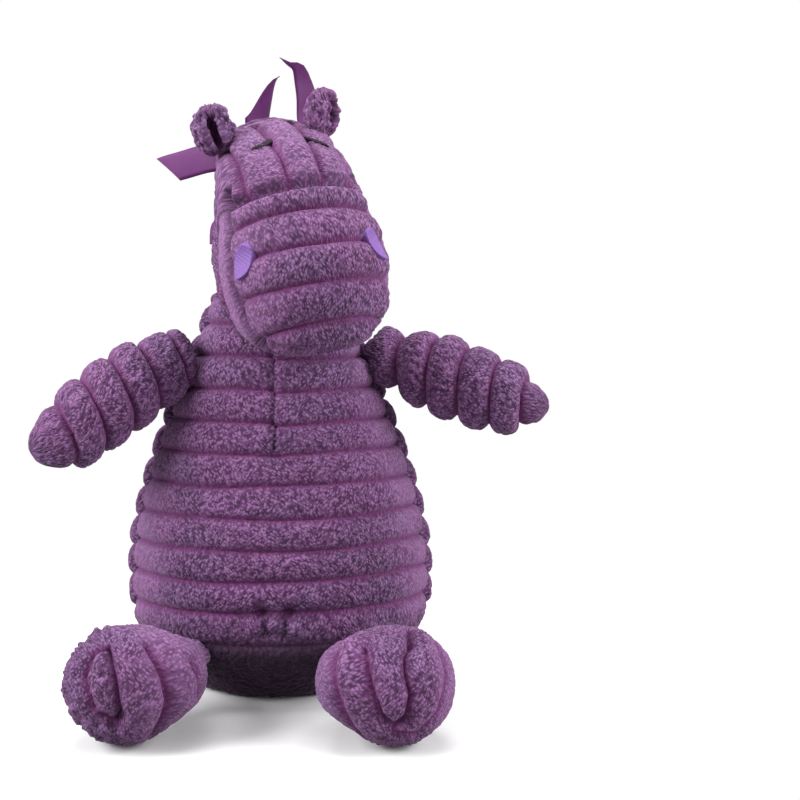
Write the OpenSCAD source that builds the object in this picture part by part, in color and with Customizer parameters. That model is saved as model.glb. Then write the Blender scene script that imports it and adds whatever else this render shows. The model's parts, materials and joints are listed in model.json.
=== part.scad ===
// Seated plush animal in wide-wale cloth, with a ribbon mane and tail.
// The toy faces -Y and sits on z = 0. The body's upright middle line is the Z axis.

/* [Cloth] */
// Thickness of the plush cloth
cloth_t = 2; // [1.2:0.1:3]
// Distance from one wale to the next
wale_pitch = 13; // [9:0.5:18]
// Depth of the groove between two wales
wale_depth = 2.6; // [1:0.1:4]
// Width of a sewn seam, left open between two panels
seam_gap = 0.4; // [0.3:0.1:1]
// Room between the cloth and its stuffing
fill_gap = 0.3; // [0.2:0.1:1]

/* [Body] */
// Height of the body, from the seat to the neck seam
body_h = 147; // [125:1:170]
// Width of the belly at its widest
belly_w = 116; // [95:1:130]
// Height of the widest part of the belly
belly_z = 34; // [28:1:52]
// How far the belly stands forward of the side seams
belly_depth = 50; // [42:1:58]
// How far the back stands behind the side seams
back_depth = 44; // [38:1:52]
// Width across the neck seam
neck_w = 51; // [44:1:58]
// Width of the flat seat
seat_w = 70; // [56:1:80]
// Thickness of the seat panel
seat_t = 2; // [1.2:0.1:3]
// Height of the pellet bag inside the seat
pellet_h = 22; // [14:1:32]
// How far the wales of the right back panel are off those of the left
back_mismatch = 6; // [0:0.5:12]

/* [Neck] */
// Height of the stuffed neck roll at its middle
neck_h = 6; // [5:0.5:10]
// Running gap at the neck, above and below the roll
neck_gap = 0.4; // [0.3:0.1:1]

/* [Head] */
// Height of the head above the neck
crown_h = 60; // [52:1:70]
// How far the chin hangs below the neck
chin_drop = 25; // [18:1:30]
// Width of the muzzle
muzzle_w = 63; // [52:1:70]
// Width of the forehead
brow_w = 45; // [36:1:50]
// How far the nose stands forward of the neck's middle
nose_reach = 67; // [58:1:76]
// How far the back of the head stands behind the neck's middle
nape_reach = 23; // [18:1:28]
// Height above the neck of the seam between muzzle and forehead
muzzle_top = 36; // [28:1:42]
// Half of the angle that the muzzle panel spans
muzzle_span = 62; // [50:1:75]
// Gap between the chin and the chest
chin_gap = 1.6; // [1:0.2:4]
// Turn of the head to its left, in degrees
head_turn = 16; // [-20:1:20]
// Lean of the head to its right, in degrees
head_lean = 6; // [0:1:10]

/* [Face] */
// Width of a nostril
nostril_w = 8; // [5:0.5:11]
// Height of a nostril
nostril_h = 12; // [8:0.5:15]
// Distance between the nostrils
nostril_pitch = 45; // [36:1:52]
// Height of the nostrils above the neck
nostril_z = 12; // [4:1:20]
// How proud the nostril's stitching stands
nostril_t = 1.2; // [0.8:0.1:2]
// Length of the thread stitch that makes an eye
eye_l = 7; // [4:0.5:10]
// Thickness of the eye's thread
eye_d = 1.4; // [0.8:0.1:2.5]
// Distance between the eyes
eye_pitch = 19; // [15:1:28]
// Height of the eyes above the neck
eye_z = 48; // [42:1:54]

/* [Ears] */
// Height of an ear
ear_h = 17; // [14:1:28]
// Width of an ear
ear_w = 18; // [13:1:24]
// Depth of the ear's cup
ear_cup = 6; // [3:0.5:8]
// Thickness of each of the ear's two layers
ear_t = 1.6; // [1:0.1:2.5]
// Height of the ear's root above the neck
ear_z = 48; // [42:1:52]

/* [Arms] */
// Length of an arm from its shoulder pivot to its tip
arm_l = 60; // [48:1:74]
// Thickness of the arm at its fullest
arm_d = 31; // [24:1:36]
// Thickness of the arm near its tip
arm_tip_d = 24; // [18:1:30]
// Height of the shoulders
shoulder_z = 121; // [108:1:128]
// Diameter of the gathered root of an arm
arm_root_d = 12; // [8:1:18]
// Drop of the left arm below level, in degrees
arm_drop_left = 24; // [0:1:45]
// Drop of the right arm below level, in degrees
arm_drop_right = 16; // [0:1:45]
// Angle that the left arm points forward, in degrees
arm_forward_left = 26; // [0:1:40]
// Angle that the right arm points forward, in degrees
arm_forward_right = 18; // [0:1:40]
// Angle from the left side seam forward to the left arm, in degrees
shoulder_angle_left = 20; // [0:1:30]
// Angle from the right side seam forward to the right arm, in degrees
shoulder_angle_right = 8; // [0:1:30]

/* [Legs] */
// Length of a leg from its hip pivot to its sole
leg_l = 48; // [38:1:60]
// Thickness of the foot
foot_d = 40; // [32:1:46]
// Diameter of the gathered root of a leg
leg_root_d = 15; // [10:1:20]
// Angle round the body from the front to the left hip, in degrees
hip_angle_left = 40; // [30:1:60]
// Angle round the body from the front to the right hip, in degrees
hip_angle_right = 29; // [26:1:55]
// Angle that the left leg splays outward, in degrees
leg_splay_left = 28; // [10:1:45]
// Angle that the right leg splays outward, in degrees
leg_splay_right = 16; // [10:1:45]
// Gap between a sole and the table
sole_gap = 0.4; // [0.3:0.1:1]

/* [Ribbons] */
// Width of the satin ribbon
ribbon_w = 13; // [8:0.5:16]
// Thickness of the ribbon as modelled
ribbon_t = 0.5; // [0.4:0.1:1]
// Reach of the longest tail behind the body
tail_reach = 82; // [50:1:95]
// Height on the back where the tail is sewn in
tail_z = 20; // [14:1:30]
// Height of the mane's upright tails
mane_h = 28; // [18:1:36]

/* [Hidden] */

plush = [0.56, 0.40, 0.58];
plush_light = [0.66, 0.50, 0.68];
satin = [0.60, 0.28, 0.62];
fibre = [0.93, 0.92, 0.90];
facet_room = 0.8; // what the flats of a many-sided form take off a curve
left = -1; // the toy as seen from the front: its left-hand pieces in the view lie at -X
right = 1;

// ---- paths -------------------------------------------------------------------------------

function lerp(a, b, t) = a + (b - a) * t;
function degrees_of(radians) = radians * 180 / PI;

// Running length along a path, at each of its points
function run_lengths(p) =
    [for (i = 0, s = 0; i < len(p); i = i + 1, s = i < len(p) ? s + norm(p[i] - p[i - 1]) : s) s];

// The point of a path at a running length
function walk(p, runs, s) =
    [for (k = [0:len(p[0]) - 1]) lookup(s, [for (i = [0:len(p) - 1]) [runs[i], p[i][k]]])];

// A 2-D path in wales: each has a groove and two shoulders, with the cloth on its right side.
// start shifts the wales along the path. With a lining, every point lies that deep instead.
function ribbed(p, start = 0, lining = 0) =
    let (
        runs = run_lengths(p),
        total = runs[len(p) - 1],
        count = round(total / wale_pitch),
        pitch = total / count,
        stops = [
            for (i = [-1:count], f = [0, 0.24, 0.76])
                let (s = start + (i + f) * pitch)
                if (s > 0.1 * pitch && s < total - 0.1 * pitch) [s, f == 0 ? wale_depth : 0]
        ]
    )
    [
        for (q = concat([[0, 0]], stops, [[total, 0]]))
            groove_point(p, runs, q[0], lining > 0 ? lining : q[1])
    ];

function groove_point(p, runs, s, depth) =
    let (
        here = walk(p, runs, s),
        along = walk(p, runs, s + 1) - walk(p, runs, s - 1),
        across = [along[1], -along[0]] / norm(along)
    )
    here - depth * across;

// A 2-D path moved inward by a distance
function inset(p, t) =
    [
        for (i = [0:len(p) - 1])
            let (along = p[min(i + 1, len(p) - 1)] - p[max(i - 1, 0)])
            p[i] - t * [along[1], -along[0]] / norm(along)
    ];

// ---- solids from rings and grids -----------------------------------------------------------

// Two triangles for each square of a grid whose rows have n points; closed joins row ends
function grid_faces(rows, n, first, closed) =
    [
        for (i = [0:rows - 2], j = [0:(closed ? n - 1 : n - 2)])
            let (
                a = first + i * n + j,
                b = first + i * n + (j + 1) % n,
                c = a + n,
                d = b + n
            )
            each [[a, c, b], [b, c, d]]
    ];

function flat_list(rows) = [for (row = rows, q = row) q];
function fan(n, first) = [for (j = [1:n - 2]) [first, first + j, first + j + 1]];
function flipped(faces) = [for (f = faces) [f[2], f[1], f[0]]];

// A solid through closed rings, the first at the bottom and each turning left seen from above
module loft(rings) {
    n = len(rings[0]);
    last = (len(rings) - 1) * n;
    polyhedron(
        flat_list(rings),
        concat(grid_faces(len(rings), n, 0, true), fan(n, 0), flipped(fan(n, last))),
        10
    );
}

// A sewn panel: the face of the cloth as a grid, and the same grid on the inner side
module panel(face, back) {
    rows = len(face);
    n = len(face[0]);
    half = rows * n;
    rim = concat(
        [for (j = [0:n - 1]) j],
        [for (i = [1:rows - 1]) i * n + n - 1],
        [for (j = [n - 2:-1:0]) (rows - 1) * n + j],
        [for (i = [rows - 2:-1:1]) i * n]
    );
    count = len(rim);
    polyhedron(
        concat(flat_list(face), flat_list(back)),
        concat(
            grid_faces(rows, n, 0, false),
            flipped(grid_faces(rows, n, half, false)),
            [
                for (k = [0:count - 1])
                    let (a = rim[k], b = rim[(k + 1) % count])
                    each [[a, b, a + half], [b, b + half, a + half]]
            ]
        ),
        10
    );
}

// A sleeve closed at its far end: outer rings from the open end on, then the inner rings
module sleeve(outer, inner) {
    n = len(outer[0]);
    far = (len(outer) - 1) * n;
    half = len(outer) * n;
    polyhedron(
        concat(flat_list(outer), flat_list(inner)),
        concat(
            grid_faces(len(outer), n, 0, true),
            flipped(fan(n, far)),
            flipped(grid_faces(len(inner), n, half, true)),
            fan(n, half + (len(inner) - 1) * n),
            [
                for (j = [0:n - 1])
                    let (k = (j + 1) % n)
                    each [[j, k, half + j], [k, half + k, half + j]]
            ]
        ),
        10
    );
}

// ---- body ----------------------------------------------------------------------------------

function body_r(z) =
    z < belly_z
        ? lerp(seat_w, belly_w, sin(90 * max(z, 0) / belly_z)) / 2
        : lerp(neck_w, belly_w, pow(cos(90 * min((z - belly_z) / (body_h - belly_z), 1)), 1.2)) / 2;

// Share of the width that the body is deep at an angle, where -90 is the front
function body_depth(a) = (sin(a) < 0 ? belly_depth : back_depth) * 2 / belly_w;
function on_body(q, a) = [q[0] * cos(a), q[0] * sin(a) * body_depth(a), q[1]];

body_steps = 40;
body_path = [for (i = [0:body_steps]) let (z = body_h * i / body_steps) [body_r(z), z]];
skin_path = [for (q = body_path) if (q[1] >= seat_t + seam_gap) q];
skin_t = cloth_t + wale_depth;
seam_angle = degrees_of(seam_gap / neck_w);

// A panel of the body's cloth between two angles. shift moves its wales up.
module body_skin(from, to, steps, shift = 0) {
    angles = [for (j = [0:steps]) lerp(from + seam_angle, to - seam_angle, j / steps)];
    color(plush) panel(
        [for (q = ribbed(skin_path, shift)) [for (a = angles) on_body(q, a)]],
        [for (q = ribbed(skin_path, shift, skin_t)) [for (a = angles) on_body(q, a)]]
    );
}

module belly_panel() { body_skin(-180, 0, 12); }
module back_panel_left() { body_skin(90, 180, 6); }
module back_panel_right() { body_skin(0, 90, 6, back_mismatch); }

module seat_panel() {
    r = seat_w / 2;
    outline = [for (i = [0:35]) [r * cos(10 * i), r * sin(10 * i) * body_depth(10 * i)]];
    color(plush) linear_extrude(seat_t) polygon(outline);
}

// What fills the body's cloth between two heights
lining = inset(skin_path, skin_t + fill_gap + facet_room);
function fill_r(z) = lookup(z, [for (q = lining) [q[1], q[0]]]);
module body_fill(low, high, rings) {
    loft([
        for (i = [0:rings])
            let (z = lerp(low, high, i / rings))
            [for (j = [0:23]) on_body([fill_r(z), z], 15 * j)]
    ]);
}
fill_floor = seat_t + seam_gap + fill_gap;

module pellet_bag() { color(fibre) body_fill(fill_floor, fill_floor + pellet_h, 5); }
module body_stuffing() {
    color(fibre) body_fill(fill_floor + pellet_h + fill_gap, body_h - cloth_t, 12);
}

// ---- neck and head ---------------------------------------------------------------------------

neck_z = body_h + neck_gap + neck_h;

// Puts a piece of the head, modelled upright over the neck, where the head is held
module on_head() {
    translate([0, 0, neck_z]) rotate([0, 0, head_turn]) rotate([0, -head_lean, 0]) children();
}

module neck_stuffing() {
    r = neck_w / 2 - cloth_t;
    ring = [for (j = [0:23]) [r * cos(15 * j), r * sin(15 * j)]];
    tilt = tan(head_lean);
    turned = [for (q = ring) q[0] * cos(head_turn) + q[1] * sin(head_turn)];
    color(plush) loft([
        [for (q = ring) [q[0], q[1], body_h + neck_gap]],
        [for (j = [0:23]) [ring[j][0], ring[j][1], neck_z - neck_gap + turned[j] * tilt]]
    ]);
}

// Front of the head against height above the neck, from under the chin to the crown
front_line = [
    [-chin_drop, 0.70], [-0.9 * chin_drop, 0.86], [-0.6 * chin_drop, 0.97], [-0.2 * chin_drop, 1],
    [0.15 * crown_h, 0.98], [0.35 * crown_h, 0.86], [0.55 * crown_h, 0.72], [0.75 * crown_h, 0.58],
    [0.88 * crown_h, 0.42], [0.97 * crown_h, 0.24], [crown_h, 0.10]
];
back_line = [
    [0, 1], [0.55 * crown_h, 0.90], [0.75 * crown_h, 0.74], [0.88 * crown_h, 0.5],
    [0.97 * crown_h, 0.18], [crown_h, -0.1]
];
width_line = [
    [-chin_drop, 0.45], [-0.9 * chin_drop, 0.68], [-0.6 * chin_drop, 0.92], [-0.2 * chin_drop, 1],
    [0.15 * crown_h, 0.97], [0.35 * crown_h, 0.86]
];
brow_line = [
    [0.35 * crown_h, 0.86 * muzzle_w / brow_w], [0.6 * crown_h, 1.06], [0.74 * crown_h, 1],
    [0.84 * crown_h, 0.76], [0.93 * crown_h, 0.62], [0.98 * crown_h, 0.44], [crown_h, 0.26]
];

function head_front(h) = -nose_reach * lookup(h, front_line);
function head_half(h) =
    h < 0.35 * crown_h ? muzzle_w / 2 * lookup(h, width_line) : brow_w / 2 * lookup(h, brow_line);
// The chin hangs in front of the chest and follows its slope
function chin_back(h) = -(body_r(neck_z + h) + chin_gap + 0.25 * max(-h - 6, 0));
function head_back(h) = nape_reach * lookup(h, back_line);
function head_middle(h) =
    h < 0 ? min(head_middle(0), chin_back(h) - 1) : lerp(head_front(h), head_back(h), 0.42);

// A point on the head; angle -90 is its front. t is how deep it lies under the surface, and low
// is for the chin, which ends in front of the chest.
function head_point(h, a, t = 0, low = false) =
    let (
        mid = head_middle(h),
        reach = sin(a) < 0 ? mid - head_front(h) : (low ? chin_back(h) : head_back(h)) - mid
    )
    [(head_half(h) - t) * cos(a), mid + (reach - min(t, 0.8 * reach)) * sin(a), h];

head_angles = 26;
function head_ring(h, t, low = false) =
    [for (j = [0:head_angles - 1]) head_point(h, 360 * j / head_angles, t, low)];

// A panel of the head between two heights and two angles
// row_depth and column_depth are the depths of the grooves along its rows and columns
module head_patch(rows, columns, row_depth, column_depth) {
    face = [
        for (i = [0:len(rows) - 1]) [
            for (j = [0:len(columns) - 1])
                head_point(rows[i], columns[j], row_depth[i] + column_depth[j], rows[i] < 0)
        ]
    ];
    back = [
        for (i = [0:len(rows) - 1])
            [for (a = columns) head_point(rows[i], a, skin_t, rows[i] < 0)]
    ];
    color(plush) on_head() panel(face, back);
}

// Stops along a stretch of n wales, and the depth of the cloth there
function wale_stops(from, to, n) =
    concat([for (i = [0:n - 1], f = [0, 0.25, 0.75]) lerp(from, to, (i + f) / n)], [to]);
function wale_depths(n) = [for (i = [0:3 * n]) i > 0 && i < 3 * n && i % 3 == 0 ? wale_depth : 0];
function plain_stops(from, to, n) = [for (i = [0:n]) lerp(from, to, i / n)];
function plain_depths(n) = [for (i = [0:n]) 0];

seam_h = seam_gap / 2;
seam_a = degrees_of(seam_gap / brow_w);
side_angle = -90 + muzzle_span;
muzzle_low = -0.86 * chin_drop;
muzzle_wales = round((muzzle_top - muzzle_low) / wale_pitch);
crown_stop = 0.98 * crown_h;

module muzzle_panel() {
    head_patch(
        wale_stops(muzzle_low + seam_h, muzzle_top - seam_h, muzzle_wales),
        plain_stops(-90 - muzzle_span + seam_a, side_angle - seam_a, 8),
        wale_depths(muzzle_wales),
        plain_depths(8)
    );
}

module forehead_panel() {
    head_patch(
        plain_stops(muzzle_top + seam_h, crown_stop, 5),
        wale_stops(-90 - muzzle_span + seam_a, side_angle - seam_a, 4),
        plain_depths(5),
        wale_depths(4)
    );
}

module head_side(side) {
    from = side == right ? side_angle + seam_a : 90 + seam_a;
    to = side == right ? 90 - seam_a : 270 - muzzle_span - seam_a;
    head_patch(
        concat([underside_t + seam_gap], plain_stops(0.15 * crown_h, crown_stop, 5)),
        wale_stops(from, to, 4),
        plain_depths(6),
        wale_depths(4)
    );
}
module head_side_left() { head_side(left); }
module head_side_right() { head_side(right); }

// The chin is a closed cup of smooth cloth, behind and under the muzzle panel, and its cloth
// runs back under the head to the nape. It is tucked in behind the muzzle panel.
underside_t = cloth_t;
tuck_t = skin_t + fill_gap + facet_room;
function under_ring(h, low, tucked) =
    [
        for (j = [0:head_angles - 1])
            let (
                a = 360 * j / head_angles,
                off = abs(a - 270),
                t = tucked && off < muzzle_span + 360 / head_angles ? tuck_t : 0
            )
            head_point(h, a, t, low)
    ];
module chin_panel() {
    edge = muzzle_low - seam_gap;
    rings = concat(
        [for (f = [1, 0.965]) under_ring(-f * chin_drop, true, false)],
        [under_ring(edge, true, false), under_ring(edge + 0.3, true, true)],
        [for (f = [0.6, 0.3]) under_ring(f * edge, true, true)],
        [under_ring(-0.05, true, true), under_ring(0, false, true), under_ring(underside_t, false, true)]
    );
    color(plush_light) on_head() loft(rings);
}

module head_stuffing() {
    low = underside_t + fill_gap;
    color(fibre) on_head()
        loft([for (h = plain_stops(low, crown_stop - cloth_t, 7)) head_ring(h, tuck_t)]);
}

// ---- face ------------------------------------------------------------------------------------

// The point of the head's front at a height and a distance from its middle
function face_point(x, h, out) = head_point(h, -acos(x / head_half(h)), -out);

module nostril(side) {
    out = seam_gap;
    a = -acos(side * nostril_pitch / 2 / head_half(nostril_z));
    turn = degrees_of(1 / head_half(nostril_z));
    rings = [
        for (q = [[1, 0], [1, 0.6], [0.65, 1]])
            [
                for (j = [0:15])
                    head_point(
                        nostril_z + q[0] * nostril_h / 2 * sin(22.5 * j),
                        a + q[0] * nostril_w / 2 * cos(22.5 * j) * turn,
                        -out - q[1] * nostril_t
                    )
            ]
    ];
    color(plush_light) on_head() loft(rings);
}
module nostril_left() { nostril(left); }
module nostril_right() { nostril(right); }

eye_slope = 27; // the outer end of each stitch is the lower one
function brow_slope(h) = atan((head_front(h + 1) - head_front(h - 1)) / 2);
module eye_stitch(side) {
    reach = eye_l / 2 * cos(eye_slope);
    drop = eye_l / 2 * sin(eye_slope);
    out = (eye_d / 2 + seam_gap) / cos(brow_slope(eye_z));
    color("dimgray") on_head() hull() {
        for (end = [-1, 1])
            translate(face_point(side * (eye_pitch / 2 + end * reach), eye_z - end * drop, out))
                sphere(d = eye_d, $fn = 12);
    }
}
module eye_stitch_left() { eye_stitch(left); }
module eye_stitch_right() { eye_stitch(right); }

// ---- ears ------------------------------------------------------------------------------------

ear_lean = -4; // outward from upright
ear_face = 35; // how far each ear's cup is turned to its own side
ear_lift = seam_gap + 1.1;

ear_root_arc = 20; // degrees along a half circle at which the ear's round outline starts
ear_tip_arc = 162; // and at which it ends
function ear_width(v) = ear_w * sin(lerp(ear_root_arc, ear_tip_arc, v));
function ear_point(u, v, depth) =
    [ear_width(v) / 2 * u, depth - ear_cup * u * u * (1 - 0.35 * v), ear_h * v];

// One layer of an ear between two depths, its cup open to -Y
module ear_layer(side, front, back) {
    rows = [0, 0.12, 0.3, 0.5, 0.7, 0.86, 0.96, 1];
    columns = [-1, -0.6, -0.2, 0.2, 0.6, 1];
    root = head_point(ear_z, side == right ? 0 : 180, -ear_lift);
    on_head() translate(root) rotate([0, side * ear_lean, 0]) rotate([0, 0, side * ear_face])
        panel(
            [for (v = rows) [for (u = columns) ear_point(u, v, front)]],
            [for (v = rows) [for (u = columns) ear_point(u, v, back)]]
        );
}
module ear_back(side) { color(plush) ear_layer(side, 0, ear_t); }
module ear_lining(side) { color(plush_light) ear_layer(side, -fill_gap - ear_t, -fill_gap); }
module ear_left() { ear_back(left); }
module ear_lining_left() { ear_lining(left); }
module ear_right() { ear_back(right); }
module ear_lining_right() { ear_lining(right); }

// ---- limbs -----------------------------------------------------------------------------------

limb_gap = 0.4; // between a limb, its root and the body

function body_slope(z) = atan((body_r(z - 1) - body_r(z + 1)) / 2);
function body_out(a, z) =
    let (t = on_body([body_r(z), z], a + 1) - on_body([body_r(z), z], a - 1))
    [t[1], -t[0], 0] / norm(t);

// The middle of a limb's root, which rests on the body's cloth. press takes up what the cloth's
// flats leave open.
function pivot_at(a, z, root_d, press = 0) =
    on_body([body_r(z), z], a)
        + body_out(a, z) * (root_d / 2 + limb_gap - press) / cos(body_slope(z));

// Lays a limb modelled along +Z from a pivot, turned to a bearing and dropped below level
module limb(pivot, bearing, drop = 0) {
    translate(pivot) rotate([0, 90 + drop, bearing]) children();
}

arm_start = arm_root_d / 2 + limb_gap;
arm_sides = 18;

// Radius of an arm at a share of its length, rounded off at both ends
function arm_r(u) =
    lerp(arm_d, arm_tip_d, u) / 2
        * (u > 0.8 ? sqrt(1 - pow((u - 0.8) / 0.205, 2)) : 1)
        * (u < 0.2 ? lerp(0.6, 1, sin(90 * u / 0.2)) : 1);
arm_shares = [0, 0.05, 0.1, 0.2, 0.35, 0.5, 0.65, 0.8, 0.85, 0.9, 0.94, 0.97, 0.99, 1];
arm_path = [for (u = arm_shares) [arm_r(u), lerp(arm_start, arm_l, u)]];
function turned_ring(q, n) = [for (j = [0:n - 1]) [q[0] * cos(360 * j / n), q[0] * sin(360 * j / n), q[1]]];

// The arm's path moved in, cut off square at both ends
function arm_inside(t) =
    [
        for (u = [0, 0.2, 0.5, 0.75, 0.88, 1])
            [max(arm_r(u) - t, 0.3 * arm_tip_d / 2), lerp(arm_start, arm_l - t, u)]
    ];

function arm_angle(side) = side == right ? -shoulder_angle_right : 180 + shoulder_angle_left;
function arm_bearing(side) = side == right ? -arm_forward_right : 180 + arm_forward_left;
module arm_place(side) {
    drop = side == right ? arm_drop_right : arm_drop_left;
    limb(pivot_at(arm_angle(side), shoulder_z, arm_root_d), arm_bearing(side), drop) children();
}
module arm_skin(side) {
    outer = [for (q = ribbed(arm_path)) turned_ring(q, arm_sides)];
    inner = [for (q = arm_inside(skin_t)) turned_ring(q, arm_sides)];
    color(plush) arm_place(side) sleeve(outer, inner);
}
module arm_fill(side) {
    path = arm_inside(skin_t + fill_gap);
    color(fibre) arm_place(side) loft([for (q = path) turned_ring(q, arm_sides)]);
}
module arm_root(side) { color(plush) arm_place(side) sphere(d = arm_root_d, $fn = 12); }
module arm_left() { arm_skin(left); }
module arm_stuffing_left() { arm_fill(left); }
module arm_root_left() { arm_root(left); }
module arm_right() { arm_skin(right); }
module arm_stuffing_right() { arm_fill(right); }
module arm_root_right() { arm_root(right); }

leg_z = foot_d / 2 + sole_gap;
leg_start = leg_root_d / 2 + limb_gap;
hip_press = facet_room + 0.4; // brings the root up to the flats of the belly's cloth
leg_sides = 5; // wales from side to side of a leg
leg_middle = leg_l - foot_d / 2;

// The leg's outline over its top, round the sole and back below, at an angle across its width.
// t moves it inward.
function leg_line(across, t) =
    let (
        r = foot_d / 2 - t,
        high = r * pow(cos(across), 0.85),
        wide = r * sin(across)
    )
    concat(
        [for (f = [0, 0.4, 1]) leg_side(high, wide, f)],
        [for (b = [70:-20:-70]) [high * sin(b), wide, leg_middle + high * cos(b)]],
        [for (f = [1, 0.4, 0]) leg_side(-high, wide, f)]
    );
function leg_side(high, wide, f) =
    let (taper = lerp(0.55, 1, sin(90 * f)))
    [high * taper, wide * taper, lerp(leg_start, leg_middle, f)];

module leg_place(side) {
    a = -90 + side * (side == right ? hip_angle_right : hip_angle_left);
    bearing = -90 + side * (side == right ? leg_splay_right : leg_splay_left);
    limb(pivot_at(a, leg_z, leg_root_d, hip_press), bearing) children();
}
module leg_skin(side) {
    across = wale_stops(86, -86, leg_sides);
    depths = wale_depths(leg_sides);
    face = [for (i = [0:len(across) - 1]) leg_line(across[i], depths[i])];
    back = [for (a = across) leg_line(a, skin_t)];
    color(plush) leg_place(side) panel(face, back);
}
module leg_fill(side) {
    t = skin_t + fill_gap;
    color(fibre) leg_place(side) loft([for (a = [80:-20:-80]) leg_line(a, t)]);
}
module leg_root(side) { color(plush) leg_place(side) sphere(d = leg_root_d, $fn = 12); }
module leg_left() { leg_skin(left); }
module leg_stuffing_left() { leg_fill(left); }
module leg_root_left() { leg_root(left); }
module leg_right() { leg_skin(right); }
module leg_stuffing_right() { leg_fill(right); }
module leg_root_right() { leg_root(right); }

// ---- ribbons ---------------------------------------------------------------------------------

function between(p, t) = [for (i = [0:len(p) - 2]) lerp(p[i], p[i + 1], t)];
function bend(p, t) = len(p) == 1 ? p[0] : bend(between(p, t), t);
function unit(v) = v / norm(v);

// A ribbon bent along control points, its width turning from one direction to another
module ribbon(route, width_from, width_to, steps = 10) {
    stops = [for (i = [0:steps]) i / steps];
    strip = [
        for (t = stops)
            let (
                p = bend(route, t),
                along = unit(bend(route, min(t + 0.02, 1)) - bend(route, max(t - 0.02, 0))),
                w = unit(lerp(width_from, width_to, t)),
                flat_w = unit(w - along * (w * along)),
                up = cross(along, flat_w)
            )
            [p, flat_w * ribbon_w / 2, up * ribbon_t / 2]
    ];
    color(satin) panel(
        [for (q = strip) [for (k = [-1, 0, 1]) q[0] + k * q[1] - q[2]]],
        [for (q = strip) [for (k = [-1, 0, 1]) q[0] + k * q[1] + q[2]]]
    );
}

// Where a ribbon of the mane leaves the centre back seam, at a height above the neck. One that
// stands on edge clears the head at its lower edge, where the head is deepest.
function mane_root(h, edge = ribbon_w / 2) =
    [0, head_back(h - edge) + ribbon_t / 2 + seam_gap + 0.2, h];
mane_top_z = 0.78 * crown_h;
mane_side_z = 0.7 * crown_h;
mane_upper_z = 0.44 * crown_h;
mane_lower_z = 0.2 * crown_h;
across_x = [1, 0, 0];
across_z = [0, 0, 1];

// An upright tail leans over, curls back, and turns edge on towards its tip
module mane_tail(lean, curl, reach, shift, press) {
    root = mane_root(mane_top_z, 0) + [shift, -press, 0];
    on_head() ribbon(
        [
            root, root + [lean * 0.2, 5, 0.3 * reach], root + [lean * 0.9, 1, 0.7 * reach],
            root + [lean + curl * 0.4, -4, reach], root + [lean + curl, -6, reach]
        ],
        across_x + [0, 0.3, 0], 0.3 * across_x - [0, 1, 0], 9
    );
}
module mane_tail_tall() { mane_tail(16, -10, mane_h, 14.5, 0.4); }
module mane_tail_curled() { mane_tail(10, 7, 0.6 * mane_h, -2, 0); }

module mane_side(side, reach) {
    root = mane_root(mane_side_z, 4) + [side * 2, 0, 0];
    on_head() ribbon(
        [
            root, root + [side * 10, 1, 0], root + [side * 0.6 * reach, -1, 1],
            root + [side * reach, 2, -3]
        ],
        across_z, across_z + [0.25 * side, 0, 0], 8
    );
}
module mane_side_left() { mane_side(left, 31); }
module mane_side_right() { mane_side(right, 20); }

// A ribbon that is folded out from the seam and falls to one side of the nape
module mane_loop(h, reach, fall, out) {
    root = mane_root(h);
    on_head() ribbon(
        [
            root, root + [6, out, 0], root + [-reach * 0.5, out + 2, 0],
            root + [-reach * 0.9, out, -fall * 0.5], root + [-reach, out - 1, -fall]
        ],
        across_z, across_z + 0.6 * across_x, 10
    );
}
module mane_loop_upper() { mane_loop(mane_upper_z, 14, 18, 13); }
module mane_loop_lower() { mane_loop(mane_lower_z, 13, 10, 6); }

// The tail's ribbons leave the centre back seam and come down to lie on the table
function tail_root(x, lift) =
    on_body([body_r(tail_z + lift), tail_z + lift], 90)
        + [x, (ribbon_t / 2 + seam_gap) / cos(body_slope(tail_z + lift)), 0];
lying = ribbon_t / 2 + seam_gap;

module tail_ribbon(x, reach, aside, rise) {
    root = tail_root(x, 0);
    table = lying - root[2];
    ribbon(
        [
            root, root + [0, 0.2 * reach, rise], root + [0.1 * aside, 0.36 * reach, rise],
            root + [0.3 * aside, 0.42 * reach, table], root + [0.6 * aside, 0.7 * reach, table],
            root + [aside, reach, table]
        ],
        across_x, across_x - [0, aside / reach, 0], 12
    );
}
module tail_ribbon_long() { tail_ribbon(7.5, tail_reach, -26, 8); }
module tail_ribbon_short() { tail_ribbon(-7.5, 0.78 * tail_reach, -34, 5); }

module tail_fold() {
    root = tail_root(0, 14);
    ribbon(
        [root, root + [-8, 7, 1], root + [-24, 3, -1], root + [-34, -2, -3]],
        across_z, across_z + [-0.3, 0, 0], 7
    );
}

// ---- preview -----------------------------------------------------------------------------------

belly_panel();
back_panel_left();
back_panel_right();
seat_panel();
body_stuffing();
pellet_bag();
neck_stuffing();
muzzle_panel();
forehead_panel();
head_side_left();
head_side_right();
chin_panel();
head_stuffing();
nostril_left();
nostril_right();
eye_stitch_left();
eye_stitch_right();
ear_left();
ear_lining_left();
ear_right();
ear_lining_right();
arm_left();
arm_stuffing_left();
arm_root_left();
arm_right();
arm_stuffing_right();
arm_root_right();
leg_left();
leg_stuffing_left();
leg_root_left();
leg_right();
leg_stuffing_right();
leg_root_right();
mane_tail_tall();
mane_tail_curled();
mane_side_left();
mane_side_right();
mane_loop_upper();
mane_loop_lower();
tail_fold();
tail_ribbon_long();
tail_ribbon_short();
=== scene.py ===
import json
import math

import bpy
import numpy as np
from mathutils import Matrix, Vector
from numpy.linalg import norm

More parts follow.
